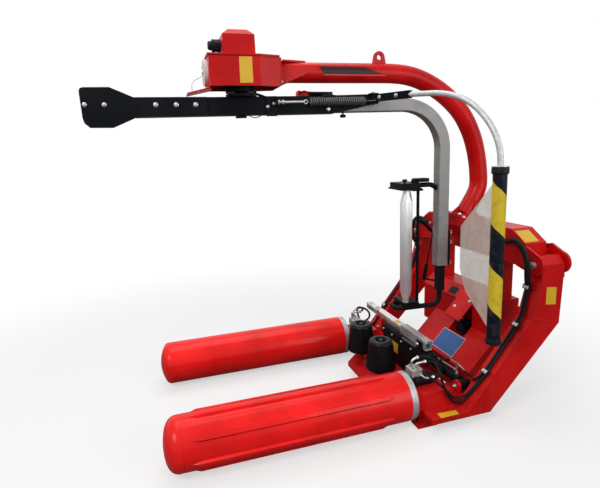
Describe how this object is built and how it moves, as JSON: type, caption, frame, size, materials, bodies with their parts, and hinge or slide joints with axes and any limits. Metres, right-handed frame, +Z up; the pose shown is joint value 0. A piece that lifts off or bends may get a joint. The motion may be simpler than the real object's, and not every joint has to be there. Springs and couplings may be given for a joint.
{
  "type": "bale wrapper",
  "caption": "Tractor-mounted round-bale wrapper with two turning drums on hinged arms and a film satellite turning overhead on a swan-necked boom.",
  "frame": {"origin": "floor point on the axis that the film satellite turns about, under the middle of the bale", "axes": "+Z up, +Y towards the tractor, +X the near side of the picture"},
  "size_m": [1.8987, 3.1671, 2.6906],
  "materials": {
    "red_paint": "gloss red enamel",
    "black_paint": "satin black enamel",
    "galvanised_steel": "dull zinc",
    "aluminium": "extruded, lightly scuffed",
    "chromed_rod": "ground and chromed",
    "black_rubber": "moulded, semi-matt",
    "striped_sleeve": "yellow foam with dark blue-black bands",
    "clear_sheet": "milky sheet",
    "pale_plastic": "off-white"
  },
  "bodies": {
    "frame": {"upper_girder": "red_paint", "boom_pedestal": "red_paint", "boom_tube": "red_paint", "posts": "red_paint", "back_beam": "red_paint", "ramp": "red_paint", "ramp_cover": "red_paint", "ramp_valve": "black_paint", "ramp_sill": "red_paint", "tongue": "red_paint", "parking_stands": "red_paint", "lower_link_ears": "red_paint", "top_link_ears": "red_paint", "drive_housing": "red_paint", "drive_cover": "red_paint", "slew_motor": "black_paint", "slew_bearing": "black_paint", "end_disc": "pale_plastic", "wire_deflector": "red_paint", "cutter_base": "black_paint", "hinge_hose_near": "black_rubber", "hinge_hose_far": "black_rubber"},
    "satellite": {"satellite_shaft": "black_paint", "satellite_beam": "black_paint", "paddle": "black_paint", "film_arm_tube": "galvanised_steel", "stretcher_low_frame": "black_paint", "stretcher_top_frame": "black_paint", "film_rest_arm": "black_paint", "flap_strip": "black_rubber", "safety_pivot": "black_paint", "safety_spring": "black_paint", "safety_valve": "red_paint"},
    "safety_arm": {"safety_lever": "black_paint", "safety_bar": "galvanised_steel", "safety_sleeve": "striped_sleeve", "safety_flap": "clear_sheet"},
    "stretch_roller_outer": {"stretch_roller_outer": "aluminium"},
    "stretch_roller_inner": {"stretch_roller_inner": "aluminium"},
    "arm_near": {"arm_near_beam": "red_paint", "arm_near_carrier": "red_paint", "arm_near_pins": "galvanised_steel", "arm_near_drum_motor": "black_paint", "arm_near_hoses": "black_rubber"},
    "arm_far": {"arm_far_beam": "red_paint", "arm_far_carrier": "red_paint", "arm_far_pins": "galvanised_steel", "arm_far_drum_motor": "black_paint", "arm_far_hoses": "black_rubber"},
    "drum_near": {"drum_near_shell": "red_paint", "drum_near_ring": "galvanised_steel"},
    "drum_far": {"drum_far_shell": "red_paint", "drum_far_ring": "galvanised_steel"},
    "cone_near": {"cone_near": "black_rubber"},
    "cone_far": {"cone_far": "black_rubber"},
    "cylinder_barrel": {"cylinder_barrel": "black_paint"},
    "cylinder_rod": {"cylinder_rod": "chromed_rod"},
    "cutter_arm": {"cutter_arm": "aluminium"}
  },
  "joints": [
    {"name": "satellite_turn", "type": "hinge", "parent": "frame", "child": "satellite", "pos_m": [0, 0, 2.2], "axis": [0, 0, 1], "continuous": true},
    {"name": "safety_arm_swing", "type": "hinge", "parent": "satellite", "child": "safety_arm", "pos_m": [0.13785, 0.92303, 2.296], "axis": [0, 0, 1], "range_deg": [0, 12], "stiffness_Nm_per_rad": 60, "springref_deg": -17.19, "deforming": ["safety_spring"]},
    {"name": "stretch_outer_spin", "type": "hinge", "parent": "satellite", "child": "stretch_roller_outer", "pos_m": [0.07931, 1.22644, 1.1], "axis": [0, 0, 1], "continuous": true},
    {"name": "stretch_inner_spin", "type": "hinge", "parent": "satellite", "child": "stretch_roller_inner", "pos_m": [-0.04371, 1.30755, 1.1], "axis": [0, 0, 1], "continuous": true},
    {"name": "arm_near_open", "type": "hinge", "parent": "frame", "child": "arm_near", "pos_m": [0.756, 1.948, 1.066], "axis": [0, -1, 0], "range_deg": [0, 20], "deforming": ["hinge_hose_near"]},
    {"name": "arm_far_open", "type": "hinge", "parent": "frame", "child": "arm_far", "pos_m": [-0.756, 1.948, 1.066], "axis": [0, 1, 0], "range_deg": [0, 20], "deforming": ["hinge_hose_far"]},
    {"name": "drum_near_spin", "type": "hinge", "parent": "arm_near", "child": "drum_near", "pos_m": [0.572, 0.3, 0.177], "axis": [0, 1, 0], "continuous": true},
    {"name": "drum_far_spin", "type": "hinge", "parent": "arm_far", "child": "drum_far", "pos_m": [-0.572, 0.3, 0.177], "axis": [0, 1, 0], "continuous": true},
    {"name": "cone_near_spin", "type": "hinge", "parent": "frame", "child": "cone_near", "pos_m": [0.18, 0.95, 0.3], "axis": [0, 0, 1], "continuous": true},
    {"name": "cone_far_spin", "type": "hinge", "parent": "frame", "child": "cone_far", "pos_m": [-0.18, 0.95, 0.3], "axis": [0, 0, 1], "continuous": true},
    {"name": "cylinder_pivot", "type": "hinge", "parent": "arm_near", "child": "cylinder_barrel", "pos_m": [0.6, 1.405, 0.185], "axis": [0, 1, 0], "range_deg": [0, 20]},
    {"name": "cylinder_stroke", "type": "slide", "parent": "cylinder_barrel", "child": "cylinder_rod", "axis": [-1, 0, 0], "range_m": [0, 0.622]},
    {"name": "cutter_lift", "type": "hinge", "parent": "frame", "child": "cutter_arm", "pos_m": [0.358, 1.222, 0.434], "axis": [0, 1, 0], "range_deg": [0, 12]}
  ],
  "couplings": [
    {"joint": "stretch_inner_spin", "follows": "stretch_outer_spin", "ratio": -1.7},
    {"joint": "arm_far_open", "follows": "arm_near_open", "ratio": 1},
    {"joint": "cylinder_pivot", "follows": "arm_near_open", "ratio": 1},
    {"joint": "cylinder_stroke", "follows": "arm_near_open", "m_per_rad": 1.779}
  ]
}
